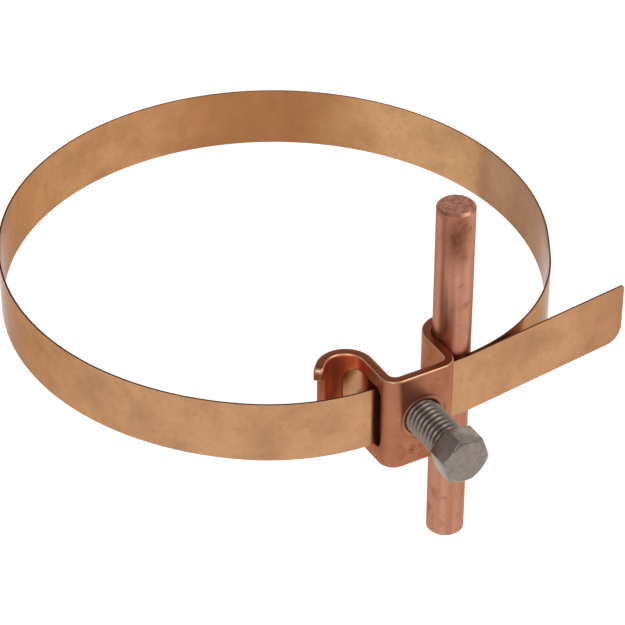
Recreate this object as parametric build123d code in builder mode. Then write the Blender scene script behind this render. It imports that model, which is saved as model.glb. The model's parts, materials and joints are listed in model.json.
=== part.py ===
from build123d import *
import math
import os

# Downpipe conductor holder. A springy band loops round the downpipe, a bent and slotted
# strip bracket carries the clamping bolt, and a stub of round conductor sits in its hook.
# Millimetres, +Z up the pipe. The origin is the centre of the loop at mid height of the
# band, the bracket stands at -Y and the bolt head points out along -Y.

os.makedirs("parts", exist_ok=True)

# Round conductor
conductor_r = 4.0
conductor_len = 82.2
conductor_chamfer = 0.5
conductor_z = 0.2        # middle of the stub

# Bracket strip
sheet_t = 2.0            # thickness of the copper sheet
strip_h = 21.9           # height of the strip along the pipe
strip_z = -0.2           # middle of the strip, which hangs a little low on the band
plate_out = 3.1          # from the circle of the loop to the outer face of the plate
channel_w = 12.6         # clear width between the two side walls
bend_ri = 1.5            # inside radius of the two tight bends
hook_fit = 0.1           # radial clearance of the conductor in its hook
hook_depth = 9.85        # from the outer face of the plate to the hook centre
hook_turn = 138.0        # degrees of the curl at each end, measured from the side wall
end_run = 2.4            # straight run after the curl, to the tips of the ears
notch_len = 3.1          # depth of the notch between the ears
notch_h = 16.0           # height of the notch between the ears
strip_edge_r = 0.45      # rounded rim on the side of the strip that faces the bolt head
strip_edge_c = 0.25      # broken rim on the side that faces the pipe
ear_corner_r = 1.1
notch_root_r = 0.3

# Slots for the band, one through each side wall. The left one runs on into its curl, and
# the short one on the right starts where the bend ends.
slot_clear = 0.3         # above and below the band
slot_z = 0.1             # middle of the slots
slot_bend_angle = 82.0   # degrees round the tight bend where the left slot starts
slot_curl_angle = 67.0   # degrees round the curl where the left slot ends
slot_back_gap = 0.4      # from the inner layer to the back end of the right slot
slot_bend_corner_r = 1.5 # corners of the left slot at the bend and in the curl
slot_curl_corner_r = 3.2
slot_right_corner_r = 1.1  # corners of the short right slot

# Band
band_w = 14.0
band_t = 0.4
ring_r = 59.2            # mean radius of the loop at mid thickness
ring_oval = 0.4          # deeper than that by this, from bolt to back, and narrower by it
layer_gap = 0.1          # between the two layers inside the bracket
conductor_gap = 0.2      # between the inner layer and the conductor
foot_gap = 0.25          # between the inner end and the back of the foot
left_r = 45.0            # tighter curve of the loop on its way to the left slot
right_r = 43.0           # the same on the conductor side
right_angle = 60.0       # degrees from the bolt where the loop leaves its circle
turn_in_r = 3.0          # inner end turning in along the left wall
inner_end_angle = 108.0  # the inner end stops here, behind the foot
tail_angle = 7.0         # lean of the free tail toward the pipe
tail_len = 39.6          # straight end of the free tail
tail_top_r = 0.8
tail_bottom_r = 3.6

# Bolt, M8 with a small hexagon head
bolt_r = 4.0
bolt_len = 15.7          # of a nominal 16
bolt_fit = 0.05          # radial clearance in the threaded hole
bolt_tip_gap = 0.3       # from the tip to the outer layer of the band
bolt_tip_chamfer = 0.9
head_af = 9.6
head_h = 5.3
head_face_r = 4.45       # flat face inside the turned chamfer
head_chamfer_angle = 30.0
head_turn = -12.5        # degrees, one corner of the hexagon from +X toward +Z
collar_r = 5.0           # outside radius of the drawn collar behind the plate
collar_len = 1.2
mark_w = 0.25            # ring pressed in the plate by the collar tool
mark_depth = 0.2

# Cutters
cut_over = 1.0           # wider or longer than what they cut, in all

# Derived
mid_r = sheet_t / 2
front_y = -(ring_r + plate_out)
hook_ri = conductor_r + hook_fit
curl_r = hook_ri + mid_r
wall_x = channel_w / 2 + mid_r
hook_x = wall_x + curl_r
hook_y = front_y + hook_depth
bend_r = bend_ri + mid_r
plate_y = front_y + mid_r
bend_x = wall_x - bend_r
bend_y = plate_y + bend_r
slot_h = band_w + 2 * slot_clear
side_off = ring_oval / (1 - math.sqrt(0.5))
side_r = ring_r - ring_oval + side_off
back_r = ring_r + ring_oval - side_off
cut_w = sheet_t + cut_over
notch_arc = math.degrees((notch_len - end_run) / curl_r)

inner_y = hook_y - conductor_r - conductor_gap - band_t / 2
outer_y = inner_y - band_t - layer_gap
tip_y = outer_y - band_t / 2 - bolt_tip_gap
head_y = tip_y - bolt_len


# Bracket: one strip, bent to an omega, slotted, with the threaded hole in its plate
with BuildPart() as bracket:
    with BuildSketch(Plane.XY.offset(strip_z)):
        with BuildLine():
            foot = CenterArc((-hook_x, hook_y), curl_r, 0, hook_turn)
            Line(foot @ 1, foot @ 1 + (foot % 1) * end_run)
            Line((-wall_x, hook_y), (-wall_x, bend_y))
            CenterArc((-bend_x, bend_y), bend_r, 180, 90)
            Line((-bend_x, plate_y), (bend_x, plate_y))
            CenterArc((bend_x, bend_y), bend_r, 270, 90)
            Line((wall_x, bend_y), (wall_x, hook_y))
            foot = CenterArc((hook_x, hook_y), curl_r, 180, -hook_turn)
            Line(foot @ 1, foot @ 1 + (foot % 1) * end_run)
        trace(line_width=sheet_t)
    extrude(amount=strip_h / 2, both=True)
    # Rounded corners of the blank, then its rims, rounded in front and broken behind. One edge
    # of the plate takes the whole rim of that side with it.
    ends = bracket.edges().filter_by(GeomType.LINE)
    ends = ends.filter_by(lambda e: abs(e.length - sheet_t) < 0.01 and abs(e.center().X) > hook_x)
    fillet(ends, radius=ear_corner_r)
    rims = bracket.edges().filter_by(Axis.X).filter_by_position(Axis.Y, front_y - 0.01, front_y + 0.01)
    fillet(rims, radius=strip_edge_r)
    back_y = front_y + sheet_t
    rims = bracket.edges().filter_by(Axis.X).filter_by_position(Axis.Y, back_y - 0.01, back_y + 0.01)
    chamfer(rims, length=strip_edge_c)
    # Slots through the walls, the left one from its bend into its curl
    with BuildSketch(Plane.XY.offset(slot_z)):
        with BuildLine():
            CenterArc((-bend_x, bend_y), bend_r, 180, 90 - slot_bend_angle)
            Line((-wall_x, bend_y), (-wall_x, hook_y))
            CenterArc((-hook_x, hook_y), curl_r, 0, slot_curl_angle)
        with BuildLine():
            Line((wall_x, bend_y), (wall_x, inner_y + band_t / 2 + slot_back_gap))
        trace(line_width=cut_w)
    extrude(amount=slot_h / 2, both=True, mode=Mode.SUBTRACT)
    # Notch between the two ears at each free end
    with BuildSketch(Plane.XY.offset(strip_z)):
        with BuildLine():
            foot = CenterArc((-hook_x, hook_y), curl_r, hook_turn - notch_arc, notch_arc)
            Line(foot @ 1, foot @ 1 + (foot % 1) * (end_run + cut_over))
        trace(line_width=cut_w)
        mirror(about=Plane.YZ)
    extrude(amount=notch_h / 2, both=True, mode=Mode.SUBTRACT)
    # Rounded corners of the slots and of the notch roots
    def corners(middle, height, from_x, to_x):
        cuts = bracket.edges().filter_by(GeomType.LINE)
        cuts = cuts.filter_by(lambda e: abs(e.length - sheet_t) < 0.01)
        cuts = cuts.filter_by(lambda e: abs(abs(e.center().Z - middle) - height / 2) < 0.01)
        return cuts.filter_by_position(Axis.X, from_x, to_x)

    left_of_wall = -wall_x - mid_r
    fillet(corners(slot_z, slot_h, -2 * hook_x, left_of_wall), radius=slot_curl_corner_r)
    fillet(corners(slot_z, slot_h, left_of_wall, 0), radius=slot_bend_corner_r)
    fillet(corners(slot_z, slot_h, 0, 2 * hook_x), radius=slot_right_corner_r)
    fillet(corners(strip_z, notch_h, -2 * hook_x, 2 * hook_x), radius=notch_root_r)
    # The notched ends are rounded on the same side as the rims in front
    lips = bracket.edges().filter_by(Axis.Z)
    lips = lips.filter_by(lambda e: abs(e.length - notch_h + 2 * notch_root_r) < 0.01)
    fillet(lips.sort_by(lambda e: abs(e.center().X))[:2], radius=strip_edge_r)
    # Drawn collar, tool mark and threaded hole
    with BuildSketch(Plane.XZ.offset(-front_y - sheet_t)):
        Circle(collar_r)
    extrude(amount=-collar_len)
    with BuildSketch(Plane.XZ.offset(-front_y)):
        Circle(collar_r + mark_w / 2)
        Circle(collar_r - mark_w / 2, mode=Mode.SUBTRACT)
    extrude(amount=-mark_depth, mode=Mode.SUBTRACT)
    with Locations(Plane.XZ.offset(-front_y)):
        Hole(radius=bolt_r + bolt_fit, depth=sheet_t + collar_len + cut_over)

bracket.part.label = "bracket"
export_step(bracket.part, "parts/bracket.step")
print("bracket", bracket.part.volume, len(bracket.part.solids()), bracket.part.bounding_box())

# Band: one springy strip from the hidden end behind the foot to the free tail
right_t = math.radians(right_angle)
right_run = (-inner_y - right_r - (side_r - right_r) * math.cos(right_t)) / math.sin(right_t)
right_cx = (side_r - right_r) * math.sin(right_t) - right_run * math.cos(right_t) - side_off
right_cy = inner_y + right_r
left_cy = outer_y + left_r
left_angle = math.degrees(math.acos(-left_cy / (side_r - left_r)))
left_cx = side_off - (side_r - left_r) * math.sin(math.radians(left_angle))
turn_x = -channel_w / 2 + foot_gap + band_t / 2 + turn_in_r
end_r = curl_r + mid_r + foot_gap + band_t / 2
tail_r = right_r + band_t + layer_gap
tail_t = math.radians(tail_angle)
tail_start = (right_cx + tail_r * math.sin(tail_t), right_cy - tail_r * math.cos(tail_t))
tail_end = (tail_start[0] + tail_len * math.cos(tail_t), tail_start[1] + tail_len * math.sin(tail_t))

with BuildPart() as band:
    with BuildSketch():
        with BuildLine():
            CenterArc((-hook_x, hook_y), end_r, 0, inner_end_angle)
            Line((turn_x - turn_in_r, hook_y), (turn_x - turn_in_r, inner_y + turn_in_r))
            CenterArc((turn_x, inner_y + turn_in_r), turn_in_r, 180, 90)
            Line((turn_x, inner_y), (right_cx, inner_y))
            arc = CenterArc((right_cx, right_cy), right_r, 270, right_angle)
            ring = CenterArc((-side_off, 0), side_r, 270 + right_angle, 135 - right_angle)
            Line(arc @ 1, ring @ 0)
            CenterArc((0, side_off), back_r, 45, 90)
            CenterArc((side_off, 0), side_r, 135, 135 - left_angle)
            CenterArc((left_cx, left_cy), left_r, 270 - left_angle, left_angle)
            Line((left_cx, outer_y), (right_cx, outer_y))
            CenterArc((right_cx, right_cy), tail_r, 270, tail_angle)
            Line(tail_start, tail_end)
        trace(line_width=band_t)
    extrude(amount=band_w / 2, both=True)
    # The corners of the free end: the upper one nipped, the lower one well rounded
    tip = band.edges().filter_by(lambda e: e.center().X > tail_end[0] - band_t and e.length < 2 * band_t)
    fillet(tip.sort_by(Axis.Z)[-1], radius=tail_top_r)
    tip = band.edges().filter_by(lambda e: e.center().X > tail_end[0] - band_t and e.length < 2 * band_t)
    fillet(tip.sort_by(Axis.Z)[0], radius=tail_bottom_r)

band.part.label = "band"
export_step(band.part, "parts/band.step")
print("band", band.part.volume, len(band.part.solids()), band.part.bounding_box())

# Bolt: hexagon head with a turned chamfer, shank to the pressing tip
with BuildPart() as bolt:
    with BuildSketch(Plane.XZ.offset(-head_y + head_h)):
        RegularPolygon(radius=head_af / 2, side_count=6, major_radius=False, rotation=head_turn)
    extrude(amount=-head_h)
    corner_r = head_af / math.sqrt(3) + cut_over
    drop = (corner_r - head_face_r) * math.tan(math.radians(head_chamfer_angle))
    with BuildSketch(Plane.YZ):
        with BuildLine():
            Polyline(
                (head_y - head_h, 0),
                (head_y - head_h, head_face_r),
                (head_y - head_h + drop, corner_r),
                (head_y, corner_r),
                (head_y, 0),
                close=True,
            )
        make_face()
    revolve(axis=Axis.Y, mode=Mode.INTERSECT)
    with BuildSketch(Plane.XZ.offset(-head_y)):
        Circle(bolt_r)
    extrude(amount=-bolt_len)
    chamfer(bolt.edges().sort_by(Axis.Y)[-1], length=bolt_tip_chamfer)

bolt.part.label = "bolt"
export_step(bolt.part, "parts/bolt.step")
print("bolt", bolt.part.volume, len(bolt.part.solids()), bolt.part.bounding_box())

# Round conductor held in the right hook
with BuildPart() as conductor:
    with BuildSketch(Plane.XY.offset(conductor_z - conductor_len / 2)):
        with Locations((hook_x, hook_y)):
            Circle(conductor_r)
    extrude(amount=conductor_len)
    chamfer(conductor.edges().filter_by(GeomType.CIRCLE), length=conductor_chamfer)

conductor.part.label = "conductor"
export_step(conductor.part, "parts/conductor.step")
print("conductor", conductor.part.volume, len(conductor.part.solids()), conductor.part.bounding_box())
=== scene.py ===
import bpy
import json
import math
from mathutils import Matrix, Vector


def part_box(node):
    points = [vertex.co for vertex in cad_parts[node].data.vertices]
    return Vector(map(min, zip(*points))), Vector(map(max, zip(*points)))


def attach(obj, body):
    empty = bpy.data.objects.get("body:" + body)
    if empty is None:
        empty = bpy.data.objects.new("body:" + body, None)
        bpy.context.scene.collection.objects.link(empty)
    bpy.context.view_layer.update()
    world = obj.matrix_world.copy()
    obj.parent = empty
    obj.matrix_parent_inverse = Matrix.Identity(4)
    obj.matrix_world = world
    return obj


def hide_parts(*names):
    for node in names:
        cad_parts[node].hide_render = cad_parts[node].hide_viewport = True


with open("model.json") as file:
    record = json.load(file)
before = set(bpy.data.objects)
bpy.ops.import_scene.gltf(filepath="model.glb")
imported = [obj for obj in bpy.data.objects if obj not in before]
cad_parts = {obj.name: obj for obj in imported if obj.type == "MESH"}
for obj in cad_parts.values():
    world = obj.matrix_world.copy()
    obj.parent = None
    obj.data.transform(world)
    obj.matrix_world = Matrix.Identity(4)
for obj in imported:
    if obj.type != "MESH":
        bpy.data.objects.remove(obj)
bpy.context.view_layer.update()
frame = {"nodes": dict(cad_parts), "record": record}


# Bracket. One strip of 2 mm copper sheet, sheared, slotted and bent round a tool to an
# omega with two hooks. The hole in its plate is pierced, drawn to a collar and tapped.

mm = 0.001
mounts = {mount["name"]: mount["pos_m"] for mount in frame["record"]["mounts"]}
rod_x, rod_y = mounts["conductor_top"][:2]
plate_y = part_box("bracket")[0].y
empty_hook_axis = (-rod_x, rod_y, 0)
hook_hollow_r = 4.3 * mm
hook_wall_r = 5.2 * mm
rolled_rim_r = 0.7 * mm
scuff_at = (-2.6 * mm, plate_y, -7.8 * mm)
scuff_reach = (4 * mm, 1 * mm, 2.2 * mm)


def colour(hex_code):
    """The linear colour of an sRGB hex value."""
    parts = [int(hex_code[i:i + 2], 16) / 255 for i in (1, 3, 5)]
    return [c / 12.92 if c <= 0.04045 else ((c + 0.055) / 1.055) ** 2.4 for c in parts] + [1]


def add(tree, kind, inputs=None, **settings):
    """Adds one node. Its inputs are values, or the sockets that feed them."""
    node = tree.nodes.new("ShaderNode" + kind)
    for name, value in settings.items():
        setattr(node, name, value)
    for name, value in (inputs or {}).items():
        if isinstance(value, bpy.types.NodeSocket):
            tree.links.new(value, node.inputs[name])
        else:
            node.inputs[name].default_value = value
    return node


def new_material(name):
    """A material whose tree holds only what is added to it."""
    made = bpy.data.materials.new(name)
    made.use_nodes = True
    made.node_tree.nodes.clear()
    return made, made.node_tree


def dress(node_name, made):
    """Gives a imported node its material."""
    piece = frame["nodes"][node_name]
    piece.data.materials.clear()
    piece.data.materials.append(made)


def mark_round(tree, place, centre, reach):
    """A mark of use: 1 about its centre, falling to 0 at its reach along X, Y and Z."""
    away = add(tree, "VectorMath", {0: place.outputs["Object"], 1: centre}, operation="SUBTRACT")
    shares = add(tree, "VectorMath", {0: away.outputs[0], 1: [1 / r for r in reach]},
                 operation="MULTIPLY")
    far = add(tree, "VectorMath", {0: shares.outputs[0]}, operation="LENGTH")
    return add(tree, "MapRange", {"Value": far.outputs["Value"], "From Min": 0.2, "From Max": 1.0,
                                  "To Min": 1.0, "To Max": 0.0})


# Cold rolled copper: a warm brown red metal with a satin shine. Thin brown oxide lies on it
# in soft clouds and small stains. The bends and the rounded rims in front get a painted
# highlight, the rims are dark on top, and there is a scuff low on the plate. In the hollow
# of the empty hook, painted red bounce light makes it a clean deep red.
copper_sheet, tree = new_material("rolled_copper_sheet")
place = add(tree, "TexCoord")
facing = add(tree, "SeparateXYZ", {0: place.outputs["Normal"]})
clouds = add(tree, "TexNoise", {"Vector": place.outputs["Object"], "Scale": 1 / (7 * mm), "Detail": 4})
clouds_edge = add(tree, "MapRange", {"Value": clouds.outputs["Fac"], "From Min": 0.35, "From Max": 0.68})
stains = add(tree, "TexNoise", {"Vector": place.outputs["Object"], "Scale": 1 / (1.4 * mm), "Detail": 5,
                                "Roughness": 0.65})
stains_edge = add(tree, "MapRange", {"Value": stains.outputs["Fac"], "From Min": 0.5, "From Max": 0.75,
                                     "To Max": 0.5})
clouded = add(tree, "Mix", {0: clouds_edge.outputs[0], 6: colour("#B07356"), 7: colour("#90553B")},
              data_type="RGBA")
stained = add(tree, "Mix", {0: stains_edge.outputs[0], 6: clouded.outputs[2], 7: colour("#7E482F")},
              data_type="RGBA")
# Painted red bounce light: the hollow of the empty hook is brightened to a clean deep red
from_hook = add(tree, "VectorMath", {0: place.outputs["Object"], 1: empty_hook_axis},
                operation="SUBTRACT")
from_hook_axis = add(tree, "VectorMath", {0: from_hook.outputs[0], 1: (1, 1, 0)}, operation="MULTIPLY")
hook_far = add(tree, "VectorMath", {0: from_hook_axis.outputs[0]}, operation="LENGTH")
painted_red_bounce_mask = add(tree, "MapRange", {"Value": hook_far.outputs["Value"], "From Min": hook_hollow_r,
                                   "From Max": hook_wall_r, "To Min": 0.75, "To Max": 0.0})
# Painted highlight: the bends, where the normal slants between X and Y, are lightened
slant = add(tree, "Math", {0: facing.outputs["X"], 1: facing.outputs["Y"]}, operation="MULTIPLY")
slanting = add(tree, "Math", {0: slant.outputs[0]}, operation="ABSOLUTE")
bend_highlight_mask = add(tree, "MapRange", {"Value": slanting.outputs[0], "From Min": 0.2, "From Max": 0.5,
                              "To Max": 0.5})
bend_highlight_painted = add(tree, "Mix", {0: bend_highlight_mask.outputs[0], 6: stained.outputs[2], 7: colour("#B67C62")},
                data_type="RGBA")
scuff = mark_round(tree, place, scuff_at, scuff_reach)
scratched = add(tree, "MapRange", {"Value": stains.outputs["Fac"], "From Min": 0.4, "From Max": 0.65})
scuff_tone = add(tree, "Math", {0: scuff.outputs[0], 1: scratched.outputs[0]}, operation="MULTIPLY")
scuffed = add(tree, "Mix", {0: scuff_tone.outputs[0], 6: bend_highlight_painted.outputs[2], 7: colour("#6E3822")},
              data_type="RGBA")
red_bounce_painted = add(tree, "Mix", {0: painted_red_bounce_mask.outputs[0], 6: scuffed.outputs[2], 7: colour("#DC7248")},
               data_type="RGBA")
steep = add(tree, "Math", {0: facing.outputs["Z"]}, operation="ABSOLUTE")
rim = add(tree, "MapRange", {"Value": steep.outputs[0], "From Min": 0.86, "From Max": 0.99})
dark_rim = add(tree, "Mix", {0: rim.outputs[0], 6: red_bounce_painted.outputs[2], 7: colour("#7E4630")},
               data_type="RGBA")
# Painted highlight: the rounded rims between the top and the faces are lightened to a cream tone
rolled_over = add(tree, "MapRange", {"Value": steep.outputs[0], "From Min": 0.15, "From Max": 0.6})
not_flat = add(tree, "MapRange", {"Value": steep.outputs[0], "From Min": 0.8, "From Max": 0.97,
                                  "To Min": 0.6, "To Max": 0.0})
painted_edge_highlight = add(tree, "Math", {0: rolled_over.outputs[0], 1: not_flat.outputs[0]}, operation="MULTIPLY")
rim_tone = add(tree, "Mix", {0: painted_edge_highlight.outputs[0], 6: dark_rim.outputs[2], 7: colour("#E0B090")},
               data_type="RGBA")
# The rolling lines are about 0.2 mm apart and run along the strip, and the rims are rolled over
rolling = add(tree, "Mapping", {"Vector": place.outputs["Object"], "Scale": (60, 60, 1 / (0.2 * mm))})
lines = add(tree, "TexNoise", {"Vector": rolling.outputs[0], "Scale": 1, "Detail": 3})
worn = add(tree, "Bevel", {"Radius": rolled_rim_r}, samples=16)
relief = add(tree, "Bump", {"Height": lines.outputs["Fac"], "Strength": 0.03, "Distance": 0.03 * mm,
                            "Normal": worn.outputs[0]})
pits = add(tree, "Bump", {"Height": stains.outputs["Fac"], "Strength": 0.06, "Distance": 0.05 * mm,
                          "Normal": relief.outputs[0]})
dull = add(tree, "MapRange", {"Value": stains.outputs["Fac"], "From Min": 0.3, "From Max": 0.7,
                              "To Min": 0.3, "To Max": 0.4})
metal = add(tree, "BsdfPrincipled", {"Base Color": rim_tone.outputs[2], "Metallic": 0.82,
                                     "Roughness": dull.outputs[0], "Normal": pits.outputs[0],
                                     "Specular Tint": colour("#E8C4B0")})
add(tree, "OutputMaterial", {"Surface": metal.outputs[0]})
dress("bracket", copper_sheet)


# Band. One spring strip of bronze, 14 by 0.4 mm, slit from a coil and drawn through the
# slots of the bracket, so that it loops round the pipe and leaves as a free tail.

tail_y = -50 * mm
tail_darker_from_x = 40 * mm
tail_tip_x = 56 * mm
painted_shade_reach = 3 * mm

# Rolled spring bronze: a golden tan metal, smooth, with faint lines along the strip and a
# dark slit edge. Inside the loop, painted light and shade lie in bands across the strip by
# the turn round the loop, under a random mottle. Where the bracket covers it, painted shade
# darkens it to a dark red.
bronze_strip, tree = new_material("rolled_spring_bronze")
place = add(tree, "TexCoord")
strip_face = add(tree, "NewGeometry")
facing = add(tree, "SeparateXYZ", {0: strip_face.outputs["True Normal"]})
outward = add(tree, "VectorMath", {0: place.outputs["Object"], 1: place.outputs["Normal"]},
              operation="DOT_PRODUCT")
inside = add(tree, "Math", {0: outward.outputs["Value"], 1: 0.0}, operation="LESS_THAN")
clouds = add(tree, "TexNoise", {"Vector": place.outputs["Object"], "Scale": 1 / (9 * mm), "Detail": 5,
                                "Roughness": 0.6})
clouds_edge = add(tree, "MapRange", {"Value": clouds.outputs["Fac"], "From Min": 0.38, "From Max": 0.7})
wiped = add(tree, "Mix", {0: clouds_edge.outputs[0], 6: colour("#BC8E68"), 7: colour("#A87C5A")},
            data_type="RGBA")
along = add(tree, "SeparateXYZ", {0: place.outputs["Object"]})
# The tail is darker toward its tip
on_tail = add(tree, "Math", {0: along.outputs["Y"], 1: tail_y}, operation="LESS_THAN")
to_tip = add(tree, "MapRange", {"Value": along.outputs["X"], "From Min": tail_darker_from_x,
                                "From Max": tail_tip_x, "To Max": 0.4})
darker_to_tip = add(tree, "Math", {0: on_tail.outputs[0], 1: to_tip.outputs[0]}, operation="MULTIPLY")
tail_tip_darkened = add(tree, "Mix", {0: darker_to_tip.outputs[0], 6: wiped.outputs[2], 7: colour("#8E6044")},
               data_type="RGBA")
# Painted light and shade round the inside of the loop, by the turn from -X through -Y
turn = add(tree, "TexGradient", {"Vector": place.outputs["Object"]}, gradient_type="RADIAL")
loop_shade_ramp = add(tree, "ValToRGB", {"Fac": turn.outputs["Fac"]})
loop_shade_stops = ((0.0, "#B98A60"), (0.36, "#B28A66"), (0.46, "#A28671"), (0.50, "#A8856A"), (0.522, "#A68062"),
         (0.528, "#C2966C"), (0.60, "#C4966A"), (0.625, "#B58558"), (0.66, "#A06C45"), (0.72, "#A8744C"),
         (0.75, "#BE8C60"), (0.95, "#B98A60"))
for at, tone in loop_shade_stops[2:]:
    loop_shade_ramp.color_ramp.elements.new(at)
for stop, (at, tone) in zip(loop_shade_ramp.color_ramp.elements, loop_shade_stops):
    stop.position = at
    stop.color = colour(tone)
mottle = add(tree, "Mix", {0: clouds_edge.outputs[0], 6: loop_shade_ramp.outputs["Color"], 7: colour("#8C5A38")},
             data_type="RGBA")
mottled = add(tree, "Mix", {0: 0.45, 6: loop_shade_ramp.outputs["Color"], 7: mottle.outputs[2]}, data_type="RGBA")
sides = add(tree, "Mix", {0: inside.outputs[0], 6: tail_tip_darkened.outputs[2], 7: mottled.outputs[2]},
            data_type="RGBA")
specks = add(tree, "TexNoise", {"Vector": place.outputs["Object"], "Scale": 1 / (1.6 * mm), "Detail": 5,
                                "Roughness": 0.7})
specks_edge = add(tree, "MapRange", {"Value": specks.outputs["Fac"], "From Min": 0.5, "From Max": 0.78,
                                     "To Max": 0.35})
specked = add(tree, "Mix", {0: specks_edge.outputs[0], 6: sides.outputs[2], 7: colour("#8E5E40")},
              data_type="RGBA")
# Painted shade: where the bracket covers the strip, it is darkened to a dark red
occlusion = add(tree, "AmbientOcclusion", {"Distance": painted_shade_reach}, samples=16)
painted_shade_mask = add(tree, "MapRange", {"Value": occlusion.outputs["AO"], "From Min": 0.15, "From Max": 0.75,
                                 "To Min": 0.9, "To Max": 0.0})
shade_painted = add(tree, "Mix", {0: painted_shade_mask.outputs[0], 6: specked.outputs[2], 7: colour("#5E2616")},
                data_type="RGBA")
steep = add(tree, "Math", {0: facing.outputs["Z"]}, operation="ABSOLUTE")
rim = add(tree, "MapRange", {"Value": steep.outputs[0], "From Min": 0.3, "From Max": 0.6})
rim_tone = add(tree, "Mix", {0: rim.outputs[0], 6: shade_painted.outputs[2], 7: colour("#643C2A")},
               data_type="RGBA")
rolling = add(tree, "Mapping", {"Vector": place.outputs["Object"], "Scale": (40, 40, 1 / (0.25 * mm))})
lines = add(tree, "TexNoise", {"Vector": rolling.outputs[0], "Scale": 1, "Detail": 3})
relief = add(tree, "Bump", {"Height": lines.outputs["Fac"], "Strength": 0.06, "Distance": 0.03 * mm})
dull = add(tree, "MapRange", {"Value": clouds.outputs["Fac"], "From Min": 0.3, "From Max": 0.7,
                              "To Min": 0.14, "To Max": 0.22})
metal = add(tree, "BsdfPrincipled", {"Base Color": rim_tone.outputs[2], "Metallic": 0.95,
                                     "Roughness": dull.outputs[0], "Normal": relief.outputs[0],
                                     "Specular Tint": colour("#D6C0B2")})
add(tree, "OutputMaterial", {"Surface": metal.outputs[0]})
dress("band", bronze_strip)


# Conductor. A stub of 8 mm round copper, drawn through a die and sawn off at both ends.
# It stands in the bracket's right hook, where the bolt presses the band against it.

thumb_at = (10.6 * mm, -56.0 * mm, 35.5 * mm)
thumb_reach = (4 * mm, 4 * mm, 9 * mm)
red_bounce_reach = 8 * mm

# Drawn copper: redder than the sheet, with soft drawing streaks along it, brown stains
# from handling, a thumb's mark under the top, a painted red reflection of the bracket
# where it is close, and a mottled matt face where it was sawn.
copper_rod, tree = new_material("drawn_copper_rod")
place = add(tree, "TexCoord")
facing = add(tree, "SeparateXYZ", {0: place.outputs["Normal"]})
drawing = add(tree, "Mapping", {"Vector": place.outputs["Object"],
                                "Scale": (1 / (1.6 * mm), 1 / (1.6 * mm), 18)})
streaks = add(tree, "TexNoise", {"Vector": drawing.outputs[0], "Scale": 1, "Detail": 3})
streaks_edge = add(tree, "MapRange", {"Value": streaks.outputs["Fac"], "From Min": 0.42,
                                      "From Max": 0.75, "To Max": 0.6})
streaked = add(tree, "Mix", {0: streaks_edge.outputs[0], 6: colour("#BE8770"), 7: colour("#925A44")},
               data_type="RGBA")
stains = add(tree, "TexNoise", {"Vector": place.outputs["Object"], "Scale": 1 / (3.5 * mm), "Detail": 6,
                                "Roughness": 0.65})
stains_edge = add(tree, "MapRange", {"Value": stains.outputs["Fac"], "From Min": 0.54, "From Max": 0.72,
                                     "To Max": 0.75})
stained = add(tree, "Mix", {0: stains_edge.outputs[0], 6: streaked.outputs[2], 7: colour("#824C34")},
              data_type="RGBA")
thumb = mark_round(tree, place, thumb_at, thumb_reach)
uneven = add(tree, "Math", {0: stains.outputs["Fac"], 1: 0.35}, operation="ADD")
thumb_tone = add(tree, "Math", {0: thumb.outputs[0], 1: uneven.outputs[0]}, operation="MULTIPLY")
thumbed = add(tree, "Mix", {0: thumb_tone.outputs[0], 6: stained.outputs[2], 7: colour("#64321A")},
              data_type="RGBA")
# Painted red reflection: near the bracket the rod is tinted a deep red
occlusion = add(tree, "AmbientOcclusion", {"Distance": red_bounce_reach}, samples=8)
painted_red_bounce_mask = add(tree, "MapRange", {"Value": occlusion.outputs["AO"], "From Min": 0.3, "From Max": 0.95,
                                   "To Min": 0.85, "To Max": 0.0})
red_bounce_painted = add(tree, "Mix", {0: painted_red_bounce_mask.outputs[0], 6: thumbed.outputs[2], 7: colour("#B45838")},
               data_type="RGBA")
sawn = add(tree, "Math", {0: facing.outputs["Z"]}, operation="ABSOLUTE")
grain = add(tree, "TexNoise", {"Vector": place.outputs["Object"], "Scale": 1 / (0.8 * mm), "Detail": 4})
grain_edge = add(tree, "MapRange", {"Value": grain.outputs["Fac"], "From Min": 0.35, "From Max": 0.65})
cap_tone = add(tree, "Mix", {0: grain_edge.outputs[0], 6: colour("#C99480"), 7: colour("#A06C58")},
               data_type="RGBA")
cap = add(tree, "MapRange", {"Value": sawn.outputs[0], "From Min": 0.9, "From Max": 0.98})
tone = add(tree, "Mix", {0: cap.outputs[0], 6: red_bounce_painted.outputs[2], 7: cap_tone.outputs[2]},
           data_type="RGBA")
relief = add(tree, "Bump", {"Height": streaks.outputs["Fac"], "Strength": 0.06, "Distance": 0.05 * mm})
rough = add(tree, "Bump", {"Height": grain.outputs["Fac"], "Strength": 0.06, "Distance": 0.05 * mm,
                           "Normal": relief.outputs[0]})
dull = add(tree, "MapRange", {"Value": cap.outputs[0], "To Min": 0.36, "To Max": 0.6})
metal = add(tree, "BsdfPrincipled", {"Base Color": tone.outputs[2], "Metallic": 0.88,
                                     "Roughness": dull.outputs[0], "Normal": rough.outputs[0],
                                     "Specular Tint": colour("#E8C8B8")})
add(tree, "OutputMaterial", {"Surface": metal.outputs[0]})
dress("conductor", copper_rod)


# Bolt. An M8 screw of stainless steel with a small hexagon head. The blank is cold headed,
# its corners are turned off, and the thread is rolled right up to the head.

bolt_r = 3.96 * mm
thread_pitch = 1.25 * mm
thread_depth = 0.68 * mm
root_r = bolt_r - thread_depth
thread_turns = 15
head_h = 5.3 * mm
head_af = 9.6 * mm
head_face_r = 4.45 * mm
head_chamfer = math.radians(30)
head_turn = math.radians(17.5)
head_edge_r = 0.14 * mm
bolt_low, bolt_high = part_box("bolt")
bolt_tip_y = bolt_high.y
head_under_y = bolt_low.y + head_h
head_middle = (0, head_under_y - head_h / 2, 0)
same_point = 0.001 * mm


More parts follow.
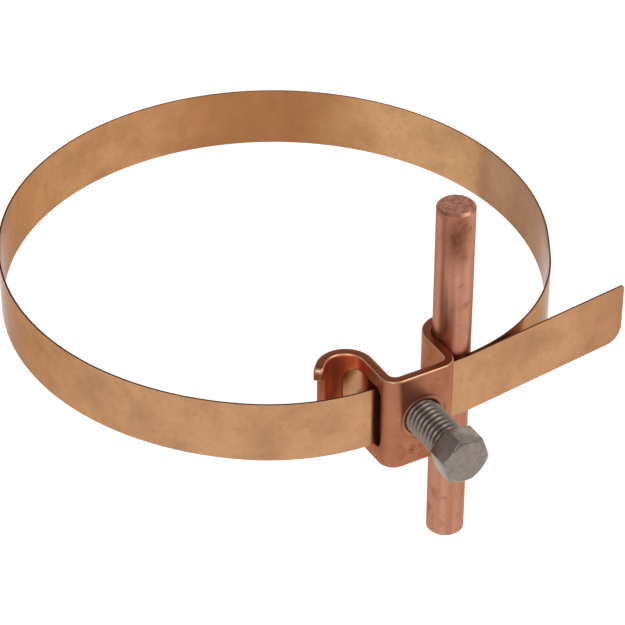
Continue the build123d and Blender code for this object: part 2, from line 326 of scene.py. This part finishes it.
def start():
    """Nothing is selected before a new piece is added."""
    if bpy.context.object and bpy.context.object.mode != "OBJECT":
        bpy.ops.object.mode_set(mode="OBJECT")
    bpy.ops.object.select_all(action="DESELECT")


def use_modifier(piece, kind, **settings):
    """Puts a modifier on a piece and applies it."""
    bpy.context.view_layer.objects.active = piece
    made = piece.modifiers.new(kind.lower(), kind)
    for name, value in settings.items():
        setattr(made, name, value)
    bpy.ops.object.modifier_apply(modifier=made.name)


# The thread is one turn of its rolled profile, swept on until it reaches past both ends
start()
crest = 0.06 * mm
fillet = 0.03 * mm
profile = [(root_r, 0.0), (root_r + fillet, 0.14 * mm), (bolt_r - crest, 0.50 * mm),
           (bolt_r, 0.575 * mm), (bolt_r, 0.675 * mm), (bolt_r - crest, 0.75 * mm),
           (root_r + fillet, 1.11 * mm), (root_r, thread_pitch)]
bpy.ops.mesh.primitive_plane_add(size=0.1 * mm, location=(root_r, head_under_y - thread_pitch, 0))
bolt = bpy.context.object
bolt.name = bolt.data.name = "threaded_bolt"
bpy.ops.object.transform_apply(location=True)
bpy.ops.object.mode_set(mode="EDIT")
bpy.ops.mesh.select_all(action="SELECT")
bpy.ops.mesh.merge(type="CENTER")
for before, after in zip(profile, profile[1:]):
    step = (after[0] - before[0], after[1] - before[1], 0)
    bpy.ops.mesh.extrude_region_move(TRANSFORM_OT_translate={"value": step})
bpy.ops.object.mode_set(mode="OBJECT")
use_modifier(bolt, "SCREW", axis="Y", screw_offset=thread_pitch, angle=math.tau,
             iterations=thread_turns, steps=72, render_steps=72, use_merge_vertices=True,
             merge_threshold=same_point)
bpy.ops.object.mode_set(mode="EDIT")
for end_y, cut_off in ((head_under_y - 0.3 * mm, "clear_inner"), (bolt_tip_y, "clear_outer")):
    bpy.ops.mesh.select_all(action="SELECT")
    bpy.ops.mesh.bisect(plane_co=(0, end_y, 0), plane_no=(0, 1, 0), use_fill=True, **{cut_off: True})
bpy.ops.mesh.select_all(action="SELECT")
bpy.ops.mesh.remove_doubles(threshold=same_point)
bpy.ops.mesh.normals_make_consistent(inside=False)
bpy.ops.object.mode_set(mode="OBJECT")

# The head is a hexagon prism whose corners are turned off by a shallow cone
start()
bpy.ops.mesh.primitive_cylinder_add(vertices=6, radius=head_af / math.sqrt(3), depth=head_h,
                                    location=head_middle, rotation=(math.radians(90), -head_turn, 0))
head = bpy.context.object
bpy.ops.object.transform_apply(location=True, rotation=True)
start()
cone_r = head_face_r + head_h / math.tan(head_chamfer)
bpy.ops.mesh.primitive_cone_add(vertices=120, radius1=cone_r, radius2=head_face_r, depth=head_h,
                                location=head_middle, rotation=(math.radians(90), 0, 0))
cone = bpy.context.object
bpy.ops.object.transform_apply(location=True, rotation=True)
use_modifier(head, "BOOLEAN", object=cone, operation="INTERSECT", solver="EXACT")
bpy.data.objects.remove(cone)
use_modifier(head, "BEVEL", width=head_edge_r, segments=2, limit_method="ANGLE",
             angle_limit=math.radians(20))
use_modifier(bolt, "BOOLEAN", object=head, operation="UNION", solver="EXACT")
bpy.data.objects.remove(head)
start()
bolt.select_set(True)
bpy.context.view_layer.objects.active = bolt
bpy.ops.object.shade_smooth_by_angle(angle=math.radians(32))

# Stainless steel: a grey metal with a brown cast, satin from rolling and heading, with
# small nicks in its faces, and darker in the roots of the thread.
steel, tree = new_material("headed_stainless_steel")
place = add(tree, "TexCoord")
clouds = add(tree, "TexNoise", {"Vector": place.outputs["Object"], "Scale": 1 / (1.2 * mm), "Detail": 6,
                                "Roughness": 0.65})
clouds_edge = add(tree, "MapRange", {"Value": clouds.outputs["Fac"], "From Min": 0.3, "From Max": 0.7})
tone = add(tree, "Mix", {0: clouds_edge.outputs[0], 6: colour("#8E827A"), 7: colour("#7A6E68")},
           data_type="RGBA")
# Darker in the roots of the thread
across = add(tree, "VectorMath", {0: place.outputs["Object"], 1: (1, 0, 1)}, operation="MULTIPLY")
from_axis = add(tree, "VectorMath", {0: across.outputs[0]}, operation="LENGTH")
root = add(tree, "MapRange", {"Value": from_axis.outputs["Value"], "From Min": root_r, "From Max": bolt_r,
                              "To Min": 0.5, "To Max": 0.0})
along = add(tree, "SeparateXYZ", {0: place.outputs["Object"]})
on_thread = add(tree, "Math", {0: along.outputs["Y"], 1: head_under_y}, operation="GREATER_THAN")
root_darkness = add(tree, "Math", {0: root.outputs[0], 1: on_thread.outputs[0]}, operation="MULTIPLY")
root_darkened = add(tree, "Mix", {0: root_darkness.outputs[0], 6: tone.outputs[2], 7: colour("#4A403A")},
            data_type="RGBA")
nicks = add(tree, "TexNoise", {"Vector": place.outputs["Object"], "Scale": 1 / (0.5 * mm), "Detail": 3})
relief = add(tree, "Bump", {"Height": clouds.outputs["Fac"], "Strength": 0.12, "Distance": 0.05 * mm})
nicked = add(tree, "Bump", {"Height": nicks.outputs["Fac"], "Strength": 0.1, "Distance": 0.05 * mm,
                            "Normal": relief.outputs[0]})
dull = add(tree, "MapRange", {"Value": clouds.outputs["Fac"], "From Min": 0.3, "From Max": 0.7,
                              "To Min": 0.26, "To Max": 0.38})
metal = add(tree, "BsdfPrincipled", {"Base Color": root_darkened.outputs[2], "Metallic": 0.95,
                                     "Roughness": dull.outputs[0], "Normal": nicked.outputs[0]})
add(tree, "OutputMaterial", {"Surface": metal.outputs[0]})
bolt.data.materials.clear()
bolt.data.materials.append(steel)
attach(bolt, "bolt")
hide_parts("bolt")


# Studio. A pale floor below the part, a white surround that darkens overhead like a
# ceiling, and three soft lamps: to the left, to the right and from behind.

floor_z = -0.07

start()
bpy.ops.mesh.primitive_plane_add(size=6, location=(0, 0, floor_z))
floor = bpy.context.object
floor.name = floor.data.name = "studio_floor"
paper, tree = new_material("pale_studio_paper")
path = add(tree, "LightPath")
seen = add(tree, "Math", {0: path.outputs["Is Camera Ray"], 1: path.outputs["Is Glossy Ray"]},
           operation="MAXIMUM")
sheet = add(tree, "BsdfDiffuse", {"Color": colour("#E6E6E6")})
glow = add(tree, "Emission", {"Color": (1, 1, 1, 1), "Strength": 0.65})
lit = add(tree, "AddShader", {0: sheet.outputs[0], 1: glow.outputs[0]})
shown = add(tree, "MixShader", {0: seen.outputs[0], 1: sheet.outputs[0], 2: lit.outputs[0]})
add(tree, "OutputMaterial", {"Surface": shown.outputs[0]})
floor.data.materials.append(paper)

# The metal shows the surround brighter than it lights the part, and the camera sees it white
world = bpy.data.worlds.new("white_surround")
world.use_nodes = True
tree = world.node_tree
tree.nodes.clear()
path = add(tree, "LightPath")
seen = add(tree, "Math", {0: path.outputs["Is Camera Ray"], 1: path.outputs["Is Glossy Ray"]},
           operation="MAXIMUM")
level = add(tree, "MapRange", {"Value": seen.outputs[0], "To Min": 0.55, "To Max": 1.0})
way = add(tree, "TexCoord")
upward = add(tree, "SeparateXYZ", {0: way.outputs["Generated"]})
ceiling = add(tree, "MapRange", {"Value": upward.outputs["Z"], "From Min": 0.0, "From Max": 0.4,
                                 "To Min": 1.0, "To Max": 0.42})
shining = add(tree, "Math", {0: level.outputs[0], 1: ceiling.outputs[0]}, operation="MULTIPLY")
strength = add(tree, "Math", {0: shining.outputs[0], 1: path.outputs["Is Camera Ray"]},
               operation="MAXIMUM")
surround = add(tree, "Background", {"Color": (1, 1, 1, 1), "Strength": strength.outputs[0]})
add(tree, "OutputWorld", {"Surface": surround.outputs[0]})
bpy.context.scene.world = world

for name, lamp_at, lamp_size, power in (("soft_key", (-0.55, -0.6, 0.5), 0.35, 2.2),
                                        ("soft_fill", (0.38, -0.5, 0.72), 0.5, 3.2),
                                        ("soft_back", (0.62, 0.7, 0.3), 0.7, 1.4)):
    lamp = bpy.data.lights.new(name, "AREA")
    lamp.size = lamp_size
    lamp.energy = power
    holder = bpy.data.objects.new(name, lamp)
    bpy.context.scene.collection.objects.link(holder)
    holder.location = lamp_at
    holder.rotation_euler = (-Vector(lamp_at)).to_track_quat("-Z", "Y").to_euler()

# The camera looks down by 36 degrees, from in front of the bracket and to its left
camera_at = (-0.230215, -0.425108, 0.337542)
looks_down = math.radians(36)
camera_turn = math.radians(-29.43)
camera_data = bpy.data.cameras.new("camera")
camera_data.lens = 156.81
camera_data.sensor_width = 36
camera = bpy.data.objects.new("camera", camera_data)
bpy.context.scene.collection.objects.link(camera)
camera.location = camera_at
camera.rotation_euler = (math.radians(90) - looks_down, 0, camera_turn)
bpy.context.scene.camera = camera
bpy.context.scene.view_settings.view_transform = "Standard"

bpy.context.view_layer.update()
